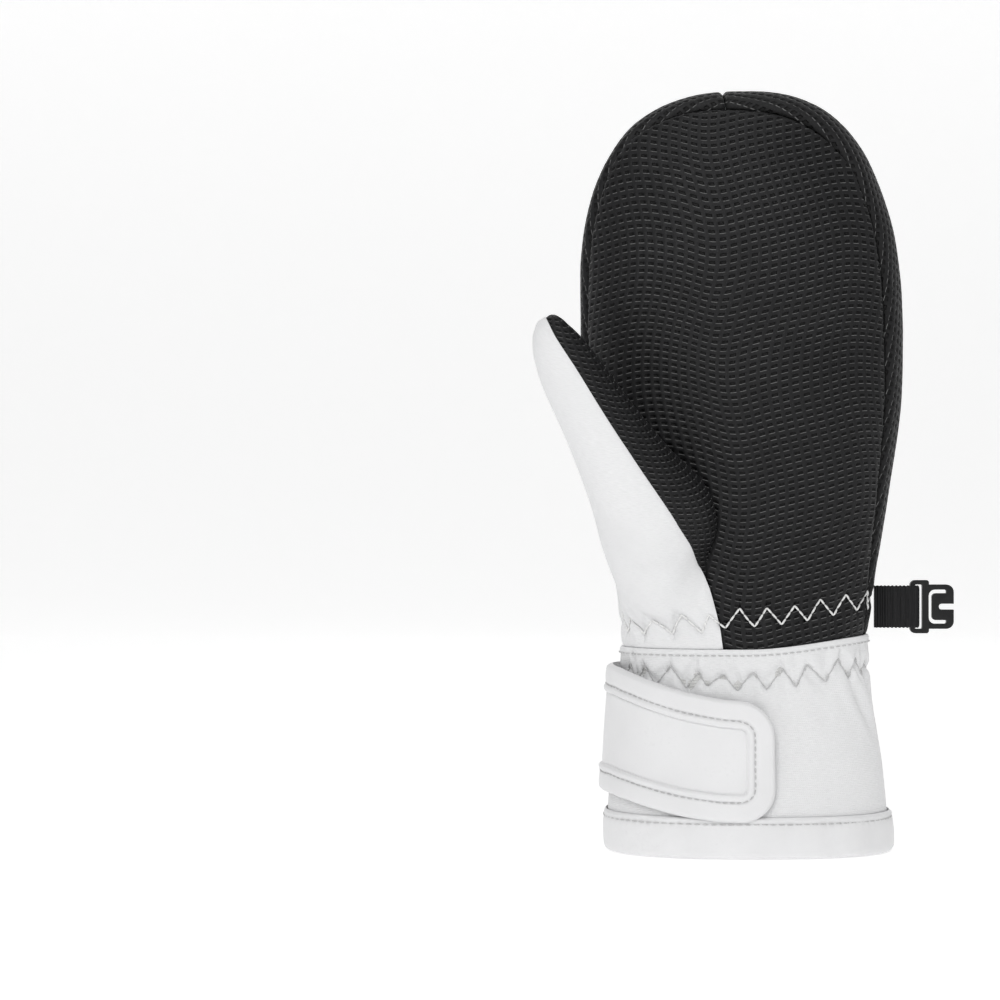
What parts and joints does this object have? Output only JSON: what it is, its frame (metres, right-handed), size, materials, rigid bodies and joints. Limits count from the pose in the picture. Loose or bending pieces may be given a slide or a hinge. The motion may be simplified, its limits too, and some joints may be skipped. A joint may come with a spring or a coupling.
{
  "type": "ski mitten",
  "caption": "Insulated left-hand ski mitten with an embossed grip palm, a set-in thumb, an elasticated wrist, a gauntlet cuff with a touch-fastening strap and a hook clip on webbing.",
  "frame": {"origin": "centre of the bounding box in X and Y, at the bottom of the hem, on which the mitten stands", "axes": "+Z from the hem to the fingertips, -Y out of the palm, -X towards the thumb and +X towards the clip"},
  "size_m": [0.1525, 0.0905, 0.2707],
  "materials": {
    "white_softshell": "white woven softshell",
    "black_grip": "embossed black synthetic leather",
    "white_coated_trim": "smooth white synthetic leather",
    "membrane_film": "waterproof film",
    "wadding": "polyester wadding",
    "grey_fleece": "brushed fleece lining",
    "elastic": "covered elastic",
    "hook_tape": "hook tape",
    "loop_tape": "loop tape",
    "black_webbing": "ribbed webbing",
    "black_plastic": "moulded plastic",
    "white_thread": "polyester thread",
    "blank_label": "satin ribbon"
  },
  "bodies": {
    "hand": {"palm_panel": "black_grip", "hand_back_panel": "white_softshell", "edge_strip_pinky": "black_grip", "edge_strip_index": "black_grip", "index_side_panel": "white_softshell", "hand_membrane": "membrane_film", "palm_wadding": "wadding", "back_wadding": "wadding", "hand_lining": "grey_fleece", "gauntlet_front": "white_softshell", "gauntlet_back": "white_softshell", "cuff_lining": "grey_fleece", "wrist_elastic_upper": "elastic", "wrist_elastic_lower": "elastic", "hem_band": "white_coated_trim", "care_label": "blank_label", "strap_anchor": "white_coated_trim", "cuff_loop_patch": "loop_tape", "zigzag_upper": "white_thread", "zigzag_lower": "white_thread", "wrist_topstitch": "white_thread", "hem_topstitch": "white_thread"},
    "thumb": {"thumb_palm_panel": "black_grip", "thumb_back_panel": "white_softshell", "thumb_membrane": "membrane_film", "thumb_wadding": "wadding", "thumb_lining": "grey_fleece"},
    "strap": {"strap_tab": "white_coated_trim", "strap_border": "white_coated_trim", "strap_hook_patch": "hook_tape", "strap_topstitch": "white_thread"},
    "webbing": {"webbing_loop": "black_webbing"},
    "hook": {"hook_clip": "black_plastic"}
  },
  "joints": [
    {"name": "thumb_flex", "type": "hinge", "parent": "hand", "child": "thumb", "pos_m": [-0.0296, -0.0073, 0.104], "axis": [0, 0, 1], "range_deg": [-6, 24]},
    {"name": "strap_peel", "type": "hinge", "parent": "hand", "child": "strap", "pos_m": [-0.0538, 0.0077, 0.04], "axis": [0, 0, -1], "range_deg": [0, 130]},
    {"name": "webbing_swing", "type": "hinge", "parent": "hand", "child": "webbing", "pos_m": [0.0483, 0.0117, 0.0865], "axis": [0, 0, 1], "range_deg": [-50, 50]},
    {"name": "hook_pivot", "type": "hinge", "parent": "webbing", "child": "hook", "pos_m": [0.061, 0.0117, 0.0865], "axis": [0, 0, 1], "range_deg": [-70, 70]}
  ]
}
